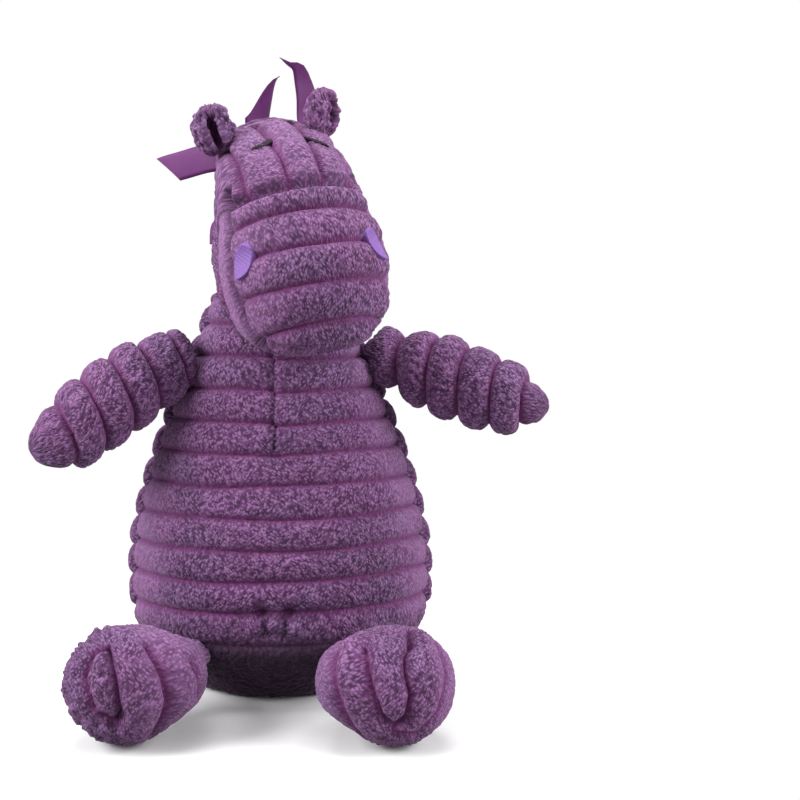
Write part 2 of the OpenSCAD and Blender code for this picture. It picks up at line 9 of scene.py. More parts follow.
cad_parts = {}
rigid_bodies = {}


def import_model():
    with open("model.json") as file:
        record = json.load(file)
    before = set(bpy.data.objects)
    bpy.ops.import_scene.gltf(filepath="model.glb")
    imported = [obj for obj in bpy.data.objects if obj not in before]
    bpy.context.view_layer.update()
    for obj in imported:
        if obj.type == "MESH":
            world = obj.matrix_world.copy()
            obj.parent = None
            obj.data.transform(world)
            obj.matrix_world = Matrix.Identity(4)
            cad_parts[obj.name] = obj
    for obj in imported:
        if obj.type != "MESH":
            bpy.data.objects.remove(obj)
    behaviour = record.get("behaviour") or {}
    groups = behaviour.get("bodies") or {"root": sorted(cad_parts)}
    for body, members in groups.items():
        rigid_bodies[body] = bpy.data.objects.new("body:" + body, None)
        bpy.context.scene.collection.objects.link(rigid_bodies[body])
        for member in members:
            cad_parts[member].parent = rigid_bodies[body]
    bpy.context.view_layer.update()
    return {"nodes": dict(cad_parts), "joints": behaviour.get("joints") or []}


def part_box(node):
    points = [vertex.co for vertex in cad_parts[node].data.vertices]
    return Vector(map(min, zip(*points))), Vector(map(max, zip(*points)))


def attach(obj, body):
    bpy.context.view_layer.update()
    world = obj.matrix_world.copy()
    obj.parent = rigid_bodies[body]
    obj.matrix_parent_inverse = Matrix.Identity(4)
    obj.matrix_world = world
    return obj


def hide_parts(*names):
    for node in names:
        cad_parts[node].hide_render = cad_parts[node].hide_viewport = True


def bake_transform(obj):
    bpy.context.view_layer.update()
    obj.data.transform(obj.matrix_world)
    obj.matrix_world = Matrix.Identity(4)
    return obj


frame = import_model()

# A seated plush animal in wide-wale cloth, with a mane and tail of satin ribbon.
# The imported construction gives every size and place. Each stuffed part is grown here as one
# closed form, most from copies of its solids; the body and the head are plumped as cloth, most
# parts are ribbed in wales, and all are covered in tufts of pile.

mm = 0.001


# ---- driving sizes, in millimetres ----

WALE_PITCH = 13.0  # measured over the cloth
WALE_DEPTH = 2.7  # of the grooves between the body's wales
TUFT_ALONG = 0.95  # size of the pile's lumps along a wale
TUFT_ACROSS = 1.5  # and across it
TUFT_HEIGHT = 0.48
TUFT_LEAN = 0.45  # radians, to one side or the other
LEAN_PATCH = (11.0, 8.0)  # size of a patch that leans one way
TONE_PATCH = 9.0  # size of a darker or lighter patch
SEAM_DEPTH = 2.2
SEAM_HALF = 1.5  # half the width of a sewn seam's valley

CROWN_H = 60.0  # of the head over the neck
RIBBON_W = 13.0
RIBBON_T = 0.3

RADIAN = 57.3  # degrees
FAR = 99.0  # where a seam doesn't reach


# ---- places in the frame ----

joints = {j["name"]: j for j in frame["joints"]}


def pivot(name):
    """Where a joint turns, in millimetres."""
    return np.array(joints[name]["pos_m"]) / mm


def box_of(node):
    """The lower and the upper corner of a node's box, in millimetres."""
    return [np.array(corner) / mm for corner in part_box(node)]


def middle_of(node):
    low, high = box_of(node)
    return (low + high) / 2


# The head's own frame starts in the middle of the neck: x to its side, y back, z up
head_x = -Vector(joints["head_nod"]["axis"])
head_lean = math.asin(head_x.z)
head_turn = math.atan2(head_x.y, head_x.x)
head_axes = np.array(
    Matrix.Rotation(head_turn, 3, "Z") @ Matrix.Rotation(-head_lean, 3, "Y")
)
neck_low, neck_high = box_of("neck_stuffing")
neck_r = (neck_high[0] - neck_low[0]) / 2
head_origin = pivot("head_nod") - head_axes @ np.array([0, neck_r, 0])


def to_head(points):
    """Points of the shared frame in the head's own frame."""
    return (points - head_origin) @ head_axes


def from_head(points):
    return np.asarray(points) @ head_axes.T + head_origin


# ---- shaping ----

HELD_LEAST = 0.02  # what is held less than this is free
CLOTH_PRESSURE = 4.0
CLOTH_FRAMES = 20


def select_only(obj):
    bpy.ops.object.select_all(action="DESELECT")
    obj.select_set(True)
    bpy.context.view_layer.objects.active = obj


def points_of(obj):
    """The mesh's points, in millimetres."""
    flat = np.empty(len(obj.data.vertices) * 3)
    obj.data.vertices.foreach_get("co", flat)
    return flat.reshape(-1, 3) / mm


def set_points(obj, points):
    obj.data.vertices.foreach_set("co", (points * mm).ravel())
    obj.data.update()


def normals_of(obj):
    flat = np.empty(len(obj.data.vertices) * 3)
    obj.data.vertex_normals.foreach_get("vector", flat)
    return flat.reshape(-1, 3)


def push(obj, distance):
    """Moves each point along its normal by a distance, or by one for each point."""
    set_points(obj, points_of(obj) + normals_of(obj) * np.reshape(distance, (-1, 1)))


def mark(obj, name, values):
    """Keeps one value for each point, for the materials to read."""
    obj.data.attributes.new(name, "FLOAT", "POINT").data.foreach_set(
        "value", np.asarray(values, np.float32)
    )


def mark_grain(obj, along, across):
    """Keeps where each point lies on the flat cloth, in millimetres along and across a wale."""
    flat = np.stack([along, across, np.zeros_like(along)], 1).astype(np.float32)
    obj.data.attributes.new("grain", "FLOAT_VECTOR", "POINT").data.foreach_set(
        "vector", flat.ravel()
    )


def apply(obj, kind, **settings):
    """Adds a modifier and applies it."""
    select_only(obj)
    modifier = obj.modifiers.new(kind.title(), kind)
    for name, value in settings.items():
        setattr(modifier, name, value)
    bpy.ops.object.modifier_apply(modifier=modifier.name)


def remesh(obj, voxel):
    """Makes one even, closed surface, with faces of about this size in millimetres."""
    apply(obj, "REMESH", mode="VOXEL", voxel_size=voxel * mm, adaptivity=0)


def relax(obj, times):
    apply(obj, "SMOOTH", factor=0.5, iterations=times)


def refine(obj, levels):
    apply(obj, "SUBSURF", levels=levels, render_levels=levels)


def new_object(name, data):
    obj = bpy.data.objects.new(name, data)
    bpy.context.scene.collection.objects.link(obj)
    return obj


def soft_form(name, nodes, voxel=4.0, smooth=8):
    """One closed, smooth form around copies of the solids of these nodes."""
    copies = [new_object(node + "_copy", frame["nodes"][node].data.copy()) for node in nodes]
    form = copies[0]
    select_only(form)
    for copy in copies:
        copy.select_set(True)
    bpy.ops.object.join()
    form.name = form.data.name = name
    form.data.materials.clear()
    remesh(form, voxel)
    keep_outer_shell(form)
    relax(form, smooth)
    return form


def keep_outer_shell(obj):
    """Deletes whatever the remesh left inside: all that isn't linked to the outermost point."""
    select_only(obj)
    bpy.ops.object.mode_set(mode="EDIT")
    bpy.ops.mesh.select_mode(type="VERT")
    bpy.ops.mesh.select_all(action="DESELECT")
    bpy.ops.object.mode_set(mode="OBJECT")
    obj.data.vertices[int(np.argmax(points_of(obj)[:, 0]))].select = True
    bpy.ops.object.mode_set(mode="EDIT")
    bpy.ops.mesh.select_linked()
    bpy.ops.mesh.select_all(action="INVERT")
    bpy.ops.mesh.delete(type="VERT")
    bpy.ops.mesh.select_all(action="SELECT")
    bpy.ops.mesh.normals_make_consistent(inside=False)
    bpy.ops.object.mode_set(mode="OBJECT")


def plump(obj, held, cap):
    """Blows the form up as cloth. held is 1 where a seam or stitch keeps it down, and 0 where
    it is free; no point moves further than cap."""
    start = points_of(obj)
    group = obj.vertex_groups.new(name="held")
    for i in np.flatnonzero(held > HELD_LEAST):
        group.add([int(i)], float(held[i]), "REPLACE")
    select_only(obj)
    cloth = obj.modifiers.new("Cloth", "CLOTH")
    cloth.settings.use_pressure = True
    cloth.settings.uniform_pressure_force = CLOTH_PRESSURE
    cloth.settings.vertex_group_mass = group.name
    cloth.settings.quality = 4
    cloth.settings.effector_weights.gravity = 0
    scene = bpy.context.scene
    for step in range(1, CLOTH_FRAMES + 1):
        scene.frame_set(step)
    bpy.ops.object.modifier_apply(modifier=cloth.name)
    scene.frame_set(1)
    obj.vertex_groups.clear()
    moved = points_of(obj) - start
    length = norm(moved, axis=1, keepdims=True)
    set_points(obj, start + moved * np.minimum(1, cap / np.maximum(length, 1e-6)))


def unit(v):
    return v / norm(v)


def near(distance, half):
    """1 on a line, falling to 0 at about two halves from it."""
    return np.exp(-((distance / half) ** 2))


def ramp(value, low, high):
    t = np.clip((value - low) / (high - low), 0, 1)
    return t * t * (3 - 2 * t)


# ---- wales and pile ----


def hashed(i, j, seed):
    """A repeatable number from 0 to 1 for each pair of whole numbers."""
    x = np.sin(i * 127.1 + j * 311.7 + seed * 74.7) * 43758.5453
    return x - np.floor(x)


def drift(a, b, seed):
    """Smooth noise from -1 to 1 over cells of size 1."""
    i, j = np.floor(a), np.floor(b)
    s, t = a - i, b - j
    s, t = s * s * (3 - 2 * s), t * t * (3 - 2 * t)
    low = hashed(i, j, seed) * (1 - s) + hashed(i + 1, j, seed) * s
    high = hashed(i, j + 1, seed) * (1 - s) + hashed(i + 1, j + 1, seed) * s
    return 2 * (low * (1 - t) + high * t) - 1


def tufts(along, across, seed):
    """Height of the pile from 0 to 1, and a slow tone from 0 to 1, over the flat cloth. The
    lumps lean to one side in some patches and to the other in the rest."""
    leaning = []
    for lean in (TUFT_LEAN, -TUFT_LEAN):
        a = (along * math.cos(lean) + across * math.sin(lean)) / TUFT_ALONG
        b = (across * math.cos(lean) - along * math.sin(lean)) / TUFT_ACROSS
        turned = drift(0.8 * a + 0.5 * b, 0.8 * b - 0.5 * a, seed + 1)
        leaning.append(0.6 * drift(a, b, seed) + 0.5 * turned)
    patch = ramp(drift(along / LEAN_PATCH[0], across / LEAN_PATCH[1], seed + 5), -0.2, 0.2)
    tone = 0.5 + 0.5 * drift(along / TONE_PATCH, across / TONE_PATCH, seed + 2)
    return ramp(leaning[0] * (1 - patch) + leaning[1] * patch, -0.5, 0.55), tone


def wale_height(across, depth=WALE_DEPTH, groove_half=1.3):
    """Height of a wale over its groove, and how near a point is to a groove's bottom. The
    powers give a wale its full round back and steep sides."""
    share = across / WALE_PITCH
    off = np.abs(share - np.round(share)) * 2
    ridge = np.maximum(1 - (1 - off) ** 2.6, 0) ** 0.7
    return depth * ridge, near(off * WALE_PITCH / 2, groove_half)


def cover(obj, along, across, relief, groove, seam=0.0, smooth=0.0, tuft=TUFT_HEIGHT, *, seed):
    """Raises the wales and the pile on a form, and marks what the cloth's material reads.
    smooth is 1 where the pile lies combed flat, with a painted sheen on it."""
    pile, tone = tufts(along, across, seed)
    low = np.maximum(groove, seam)
    height = tuft * pile * (1 - 0.6 * smooth) * (1 - 0.75 * low)
    push(obj, relief - SEAM_DEPTH * seam + height)
    mark_grain(obj, along, across)
    mark(obj, "pile", pile * (1 - 0.3 * low))
    mark(obj, "tone", tone)
    mark(obj, "groove", groove)
    mark(obj, "nap_and_sheen", smooth + np.zeros_like(pile))


# ---- materials ----

FIBRE_LEAN = 0.5  # radians that the painted dashes slant to either side
FIBRE_SIZE = 0.74  # width of a dash in millimetres
FIBRE_STRETCH = 1.8  # its length in widths
DASH_TONES = (-0.34, 0.0)  # of the dashes' height, from their darkest to their lightest

# What makes up how raised a place looks: modelled pile, painted dashes and the painted sheen of
# combed pile
PILE_SHARE = 0.24
FIBRE_SHARE = 0.76
NAP_AND_SHEEN_SHARE = 0.22
ROOT_TO_BODY = (0.04, 0.44)  # where the colour goes from the painted shade at the roots to the body's
BODY_TO_TIP = (0.5, 1.02)  # and on to the painted light on the tips
WARM_CAST = (1.03, 0.98, 1.02, 1)
COOL_CAST = (0.92, 1.0, 0.98, 1)


def srgb(red, green, blue):
    """A colour as a screen shows it, from 0 to 255, as the linear one that nodes take."""
    parts = [c / 255 for c in (red, green, blue)]
    return (*(c / 12.92 if c <= 0.04045 else ((c + 0.055) / 1.055) ** 2.4 for c in parts), 1)


class Nodes:
    """Adds nodes to a tree and joins them up."""

    def __init__(self, tree):
        self.tree = tree
        tree.nodes.clear()

    def add(self, kind, inputs=(), **settings):
        """A new node. Each of its inputs takes another node's output or a constant."""
        node = self.tree.nodes.new("ShaderNode" + kind)
        for name, value in settings.items():
            setattr(node, name, value)
        for name, value in dict(inputs).items():
            if isinstance(value, bpy.types.NodeSocket):
                self.tree.links.new(value, node.inputs[name])
            else:
                node.inputs[name].default_value = value
        return node

    def value(self, name, kind="Fac"):
        """What the mesh keeps for each point under a name."""
        return self.add("Attribute", attribute_name=name).outputs[kind]

    def mix(self, share, low, high):
        """A colour between two, by a share."""
        return self.add("Mix", {0: share, 6: low, 7: high}, data_type="RGBA").outputs[2]

    def math(self, operation, a, b):
        return self.add("Math", {0: a, 1: b}, operation=operation).outputs[0]

    def times(self, a, b):
        return self.math("MULTIPLY", a, b)

    def times_vector(self, a, b):
        return self.add("VectorMath", {0: a, 1: b}, operation="MULTIPLY").outputs[0]

    def noise(self, place, scale, detail=1.0):
        return self.add("TexNoise", {"Vector": place, "Scale": scale, "Detail": detail}).outputs[0]

    def ramp(self, value, low, high, to=(0.0, 1.0), **settings):
        """Goes from one number to another as a value goes from low to high."""
        ends = {"From Min": low, "From Max": high, "To Min": to[0], "To Max": to[1]}
        return self.add("MapRange", {"Value": value, **ends}, **settings).outputs[0]

    def finish(self, shader, kind="OutputMaterial"):
        """Makes a shader what the whole tree gives."""
        out = self.add(kind)
        self.tree.links.new(shader.outputs[0], out.inputs[0])


def new_material(name):
    material = bpy.data.materials.new(name)
    material.use_nodes = True
    return material, Nodes(material.node_tree)


def fibre_group():
    """Slanting tufts over the flat cloth, each a short dash: a tone, and a height for a bump."""
    group = bpy.data.node_groups.new("cloth fibres", "ShaderNodeTree")
    for way, names in (("INPUT", ("Fibre", "Stretch")), ("OUTPUT", ("Tone", "Height"))):
        for name in names:
            group.interface.new_socket(name, in_out=way, socket_type="NodeSocketFloat")
    make = Nodes(group)
    given = group.nodes.new("NodeGroupInput")
    out = group.nodes.new("NodeGroupOutput")
    grain = make.value("grain", "Vector")
    along, across, _ = make.add("SeparateXYZ", {0: grain}).outputs
    patch = make.ramp(make.noise(grain, 0.09), 0.46, 0.54)
    scale = make.math("DIVIDE", 1.0, given.outputs["Fibre"])
    shorter = make.math("DIVIDE", scale, given.outputs["Stretch"])
    layers = []
    for lean in (FIBRE_LEAN, -FIBRE_LEAN):
        cos, sin = math.cos(lean), math.sin(lean)
        across_dash = make.math("ADD", make.times(along, cos), make.times(across, sin))
        along_dash = make.math("SUBTRACT", make.times(across, cos), make.times(along, sin))
        placed = make.add("CombineXYZ", {
            "X": make.times(across_dash, scale), "Y": make.times(along_dash, shorter),
            "Z": 10.0 * lean,
        }).outputs[0]
        cells = make.add("TexVoronoi", {"Vector": placed, "Scale": 1.0, "Randomness": 0.8})
        layers.append(make.math(
            "SUBTRACT", make.times(make.noise(placed, 0.9), 0.45),
            make.times(cells.outputs[0], 0.9),
        ))
    dashes = make.add("Mix", {0: patch, 2: layers[0], 3: layers[1]}, data_type="FLOAT").outputs[0]
    tone = make.ramp(dashes, *DASH_TONES, interpolation_type="SMOOTHSTEP")
    group.links.new(tone, out.inputs["Tone"])
    group.links.new(dashes, out.inputs["Height"])
    return group


def plush_material(name, tip, body, root, backing, seat):
    """Pile with painted shade at the roots and painted light on the tips, bare backing in the
    grooves, and painted shade under the body.
    """
    material, make = new_material(name)
    fibres = make.add(
        "Group", {"Fibre": FIBRE_SIZE, "Stretch": FIBRE_STRETCH}, node_tree=fibre_group()
    ).outputs
    nap_and_sheen = make.value("nap_and_sheen")
    raised = make.math(
        "ADD", make.times(make.value("pile"), PILE_SHARE),
        make.times(fibres["Tone"], FIBRE_SHARE),
    )
    raised = make.math("ADD", raised, make.times(nap_and_sheen, NAP_AND_SHEEN_SHARE))
    colour = make.mix(make.ramp(raised, *ROOT_TO_BODY), root, body)
    colour = make.mix(make.ramp(raised, *BODY_TO_TIP), colour, tip)
    place = make.add("TexCoord").outputs["Object"]
    uneven = make.math("ADD", make.noise(place, 28.0, 2.0), make.times(make.value("tone"), 0.3))
    colour = make.times_vector(colour, make.ramp(uneven, 0.3, 1.0, to=(0.86, 1.12)))
    cast = make.mix(make.ramp(make.noise(place, 45.0), 0.42, 0.64), WARM_CAST, COOL_CAST)
    # combed pile takes a painted sheen, towards the tips' colour
    colour = make.mix(make.times(nap_and_sheen, 0.42), make.times_vector(colour, cast), tip)
    colour = make.mix(make.times(make.value("groove"), 0.8), colour, backing)
    # painted shade under the body, where it turns under between the legs
    colour = make.mix(make.times(make.value("seat"), 0.9), colour, seat)
    bump = make.add("Bump", {"Strength": 0.8, "Distance": 0.5 * mm, "Height": fibres["Height"]})
    make.finish(make.add("BsdfPrincipled", {
        "Base Color": colour, "Normal": bump.outputs[0], "Roughness": 0.85,
        "Specular IOR Level": 0.12, "Sheen Weight": 0.2, "Sheen Roughness": 0.5,
        "Sheen Tint": srgb(226, 190, 232),
    }))
    return material


def thread_material(name, dark, light, fineness, bump, gloss):
    """Threads laid side by side. fineness says how fast they change across and along, bump
    their strength and depth, and gloss what else the shader takes."""
    material, make = new_material(name)
    drawn = make.times_vector(make.value("grain", "Vector"), (*fineness, 1.0))
    threads = make.noise(drawn, 1.0, 2.0)
    strength, depth = bump
    colour = make.mix(threads, dark, light)
    bump = make.add("Bump", {"Strength": strength, "Distance": depth * mm, "Height": threads})
    make.finish(make.add("BsdfPrincipled", {
        "Base Color": colour, "Normal": bump.outputs[0], **gloss,
    }))
    return material


# The roots' colour is painted shade and the tips' is painted light; the last colour is painted
# shade under the body
PLUSH = plush_material(
    "wale plush", tip=srgb(138, 100, 142), body=srgb(111, 75, 114), root=srgb(66, 40, 69),
    backing=srgb(100, 46, 94), seat=srgb(44, 32, 45),
)
SATIN = thread_material(
    "satin", srgb(74, 30, 76), srgb(102, 44, 106), (5.0, 0.25), (0.25, 0.1),
    {"Roughness": 0.5, "Specular IOR Level": 0.16, "Anisotropic": 0.4},
)
NOSTRIL_THREAD = thread_material(
    "nostril thread", srgb(96, 62, 130), srgb(136, 98, 168), (3.2, 0.4), (0.5, 0.2),
    {"Roughness": 0.5, "Specular IOR Level": 0.2},
)
EYE_THREAD = thread_material(
    "eye thread", srgb(22, 16, 22), srgb(52, 40, 52), (3.2, 0.4), (0.5, 0.2),
    {"Roughness": 0.9, "Specular IOR Level": 0.2},
)


def dress(obj, material):
    """Gives a piece its material in a single slot, and smooth shading."""
    obj.data.materials.clear()
    obj.data.materials.append(material)
    obj.data.shade_smooth()


# ---- body ----

BODY_NODES = (
    "belly_panel", "back_panel_left", "back_panel_right", "seat_panel", "body_stuffing",
    "pellet_bag",
)
belly_low, belly_high = box_of("belly_panel")
BELLY_R = belly_high[0]
BELLY_DEPTH = -belly_low[1]
BACK_DEPTH = box_of("back_panel_left")[1][1]
BELLY_PITCH = 11.25  # height of one wale on the belly
BELLY_FOOT = 33.5  # height of the lowest groove, at the sides
BOW = 4.5  # how much higher the grooves run in the middle of the front
WANDER = 0.7  # how far they stray up and down
LOBE = 4.5  # how far from a seam a wale has its full height
SIDE_SEAM = 77.0  # degrees from the middle of the front
BACK_MIDDLE = 128.0  # degrees from there to the middle of a back panel
BACK_STEPS = (-0.42, 0.38)  # wales that the back panels are out of step by
FRONT_START = (21, 28)  # heights between which the wales begin in front
BACK_START = (3, 10)  # and on the back
NECK_END = (143, 149)  # heights between which they end
FLANK_TURN = (38, 66)  # degrees between which the pile comes to lie flat, with a painted sheen
FLANK_START = (24, 34)  # and heights
UNDERSIDE_SHADE_TURN = (36, 66)  # degrees between which the painted shade under the body ends
UNDERSIDE_SHADE_END = (20, 34)  # and heights
DART = (-2.0, 95.0)  # x of the dart down the chest, and the height of its foot
DART_DEPTH = 2.6  # of the hollow at its foot
DART_STEP = 1.2  # between the wales on its two sides
TUCK = (-2.0, 32.5)  # x and height of the gather at the foot of the belly
TUCK_LUMPS = ((-7.8, 0.5), (-0.7, 1.5), (6.6, -0.5))  # sideways and up from its middle
TUCK_DIPS = ((-5.4, 5.5), (4.7, 5.5))
TUCK_HEIGHT = 5.4  # of its lumps
TUCK_SINK = 2.2  # how deep it lies between them
TUCK_DIP = 2.6  # depth of its dips


def body_regions(points):
    """For each point of the body: its angle from the middle of the belly in degrees, its
    distance from the body's axis, from the nearest seam and from the chest's dart."""
    x, y, z = points.T
    depth = np.where(y < 0, BELLY_DEPTH, BACK_DEPTH) / BELLY_R
    angle, girth = np.degrees(np.arctan2(x, -y / depth)), np.hypot(x, y)
    off = np.abs(angle)
    sides = np.minimum(np.abs(off - SIDE_SEAM), 180 - off) * girth / RADIAN
    dart = np.abs(x - DART[0]) + FAR * (off > 80) + np.maximum(DART[1] - z, 0)
    return angle, girth, sides, dart


def body_wales(x, z, angle, girth):
    """How far up the cloth each point lies, with a groove at every whole wale."""
    bow = BOW * np.maximum(np.cos(np.radians(angle)), 0) * girth / BELLY_R
    level = z - bow - BELLY_FOOT
    heights = np.linspace(z.min(), BELLY_FOOT, 24)
    widths = [np.abs(x[np.abs(z - h) < 2.5]).max() for h in heights]
    run = np.concatenate([[0], np.cumsum(np.hypot(np.diff(heights), np.diff(widths)))])
    below = np.interp(level + BELLY_FOOT, heights, run - run[-1])
    up = np.where(level > 0, level * WALE_PITCH / BELLY_PITCH, below)
    back = ramp(np.abs(angle), SIDE_SEAM - 0.5, SIDE_SEAM + 0.5)
    return up + back * WALE_PITCH * np.where(angle > 0, *BACK_STEPS)


def gather(x, z):
    """The gather at the foot of the belly: how near it is, its lumps and its dips."""
    x, z = x - TUCK[0], z - TUCK[1]
    lumps = sum(near(np.hypot(x - a, (z - b) * 0.75), 2.6) for a, b in TUCK_LUMPS)
    dips = sum(near(np.hypot(x - a, z - b), 2.4) for a, b in TUCK_DIPS)
    return near(np.hypot(x / 12, z / 5), 1), lumps, dips


def make_body():
    body = soft_form("body_skin", BODY_NODES)
    push(body, 0.2)
    points = points_of(body)
    _, _, sides, dart = body_regions(points)
    held = np.maximum(near(sides, 3), near(dart, 3))
    held = np.maximum(held, ramp(-points[:, 2], -6, -2))
    plump(body, held, cap=3.0)
    refine(body, 3)
    points = points_of(body)
    x, _, z = points.T
    angle, girth, sides, dart = body_regions(points)
    off = np.abs(angle)
    front = off < SIDE_SEAM
    along = np.radians(angle) * girth
    across = body_wales(x, z, angle, girth)
    across = across + WANDER * drift(along / 24, across / 17, 51)
    across = across + DART_STEP * (front & (x > DART[0])) * ramp(z, DART[1] - 2, DART[1] + 8)
    relief, groove = wale_height(across)
    lobes = ramp(sides, 0.0, LOBE)
    starts = np.where(front, ramp(z, *FRONT_START), ramp(z, *BACK_START))
    fades = starts * (1 - ramp(z, *NECK_END))
    seam = np.maximum(near(sides, SEAM_HALF) * 0.5, near(dart, SEAM_HALF) * 0.6)
    dart_foot = near(np.hypot(x - DART[0], (z - DART[1]) * 0.6), 4.5)
    knot, lumps, dips = gather(x, z)
    tucked = TUCK_DIP * dips - (TUCK_HEIGHT * lumps - TUCK_SINK) * knot
    hollow = (DART_DEPTH * dart_foot + tucked) * front
    lift = (relief * lobes * (1 - 0.7 * knot * front) - WALE_DEPTH) * fades - hollow
    groove = np.maximum(groove * fades, front * np.minimum(dips, 1))
    # The flanks' pile lies flatter, and a painted sheen lightens them where the cloth turns away
    flank = ramp(off, *FLANK_TURN) * front * ramp(z, *FLANK_START)
    patches = 0.5 + 0.5 * drift(along / 13, across / 15, 57)
    smooth = np.clip(flank * (0.35 + 0.75 * patches), 0, 1)
    turned = angle - BACK_MIDDLE * np.sign(angle) * (off > SIDE_SEAM)
    cover(body, np.radians(turned) * girth, across, lift, groove, seam, smooth, seed=3)
    # Painted shade on the low front of the body, where it turns under between the legs
    mark(body, "seat", (1 - ramp(off, *UNDERSIDE_SHADE_TURN)) * (1 - ramp(z, *UNDERSIDE_SHADE_END)))
    dress(body, PLUSH)
    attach(body, "torso")
    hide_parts(*BODY_NODES)


# ---- neck ----

NECK_DEPTH = 1.6  # of the grooves round it


def make_neck():
    """The stuffed roll between body and head, with cloth that runs on into both."""
    neck = soft_form("neck_skin", ("neck_stuffing",), voxel=3.0, smooth=2)
    push(neck, 0.9)
    refine(neck, 2)
    x, y, z = points_of(neck).T
    relief, groove = wale_height(z - neck_low[2], depth=NECK_DEPTH)
    cover(neck, np.arctan2(x, -y) * neck_r, z, relief - NECK_DEPTH, groove, seed=61)
    dress(neck, PLUSH)
    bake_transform(neck)
    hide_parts("neck_stuffing")


# ---- head ----

HEAD_NODES = (
    "muzzle_panel", "forehead_panel", "head_side_left", "head_side_right", "chin_panel",
    "head_stuffing",
)
MUZZLE_GROOVES = (-24.5, -11.5, 3.0, 15.5, 26.5, 34.5)  # heights in the middle; the last is a seam
BROW_GROOVES = (-42.0, -24.0, -6.0, 9.5, 26.0, 43.0)  # millimetres round from the middle
BROW_END = 98.0  # degrees from the middle to the sides of the forehead
CHIN_SEAM = -24.0  # height in the middle
CHEEK_SEAM = 66.0  # degrees from the middle
ARCH = 0.0016  # rise of the muzzle's lines, by the square of the degrees to each side
CHIN_RISE = 7.0  # of the chin's seam at the sides
GUSSET_W = 6.5  # of the plain strip of cloth behind each cheek seam
DEEP = 1.2  # the head is this much deeper than wide, in front of its middle
HEAD_DEPTH = 3.0  # of the grooves between its wales
NAPE_NARROW = 0.17  # share that the back is drawn in before plumping
CROWN_DROP = 4.5  # how far the crown is lowered before it
EYE_DIP = 2.4  # depth of the hollow round an eye
EYE_ROUND = 5.5  # and its half width
NOSTRIL_BED = 8.0  # half width of the bare bed under a nostril

# For each eye and nostril: its turn in degrees, and how far the plumped head has carried it
EYES = {"left": (-16, (0.5, 0, -1.0)), "right": (42, (3.0, 1.0, -2.0))}
NOSTRILS = {"left": (18, (-2.2, 3.0, -1.5)), "right": (-24, (-2.0, -2.0, -1.2))}


def head_middle(height):
    """How far in front of the neck's middle the head's own middle lies, by height."""
    return -28.6 + 0.31 * height


def head_regions(local):
    """For each point of the head: its angle from the middle of the face in degrees, the way
    round to it, its height over the muzzle's arched lines, and its distances from the seams
    over the muzzle, under it and down the cheeks."""
    x, y, h = local.T
    angle = np.degrees(np.arctan2(x * DEEP, head_middle(h) - y))
    reach = np.hypot(x, y - head_middle(h))
    round_way = np.radians(angle) * reach
    arched = h + ARCH * np.minimum(np.abs(angle), 80) ** 2
    brow = arched - MUZZLE_GROOVES[-1]
    chin = h - CHIN_SEAM - CHIN_RISE * np.sin(np.radians(angle)) ** 2
    cheek = (np.abs(angle) - CHEEK_SEAM) * reach / RADIAN
    return angle, round_way, arched, brow, chin, cheek


def face_lines(angle, brow, chin, cheek):
    """Distance from the nearest seam of the head."""
    front = np.where(cheek < 0, np.minimum(np.abs(brow), np.abs(chin)), FAR)
    sides = np.where(brow < 6, np.abs(cheek), FAR)
    return np.minimum(np.minimum(sides, front), (180 - np.abs(angle)) * 0.4)


def head_panels(angle, brow, chin, cheek):
    """Which points are the muzzle's, the forehead's, the chin's and the gussets'."""
    muzzle = (cheek < 0) & (brow < 0) & (chin > 0)
    forehead = (np.abs(angle) < BROW_END) & (brow >= 0)
    under = ~muzzle & ~forehead & (chin < 0)
    gusset = (cheek > 0) & (cheek < GUSSET_W) & ~forehead
    return muzzle, forehead, under, gusset


def head_cloth(local, angle, round_way, arched, panels):
    """Where each point lies on its panel's flat cloth: across the wales, and along and up the
    cloth for the pile. The head's sides are what the four panels leave."""
    muzzle, forehead, under, gusset = panels
    x, y, h = local.T
    high = ramp(h, 40, 52)
    sideways = round_way * (1 - high) + 1.12 * x * high
    steps = np.arange(len(MUZZLE_GROOVES)) * WALE_PITCH
    across = np.select(
        [muzzle, forehead, under],
        [
            np.interp(arched, MUZZLE_GROOVES, steps) + 0.5 * drift(round_way / 21, h / 30, 71),
            np.interp(sideways, BROW_GROOVES, steps),
            y + 0.5 * WALE_PITCH,
        ],
        round_way - np.sign(angle) * 4,
    )
    panel_middle = np.sign(angle) * np.where(gusset, 70, 120)
    turned = np.radians(angle - panel_middle) * np.hypot(x, y - head_middle(h))
    sloped = 0.75 * (h + y)
    along = np.select([muzzle, forehead, under, gusset], [round_way, sloped, x, turned], h)
    up = np.select([muzzle | gusset, forehead, under], [h, x * 1.1, y], turned)
    return across, along, up


def mark_place(node, shift):
    """The middle of an eye or a nostril, in the head's own frame."""
    return to_head(middle_of(node)) + shift


def near_marks(local, kind, marks, half):
    """1 at both eyes or both nostrils, falling to 0 at about two halves from each."""
    places = [mark_place(f"{kind}_{side}", shift) for side, (_, shift) in marks.items()]
    return sum(near(norm(local - place, axis=1), half) for place in places)


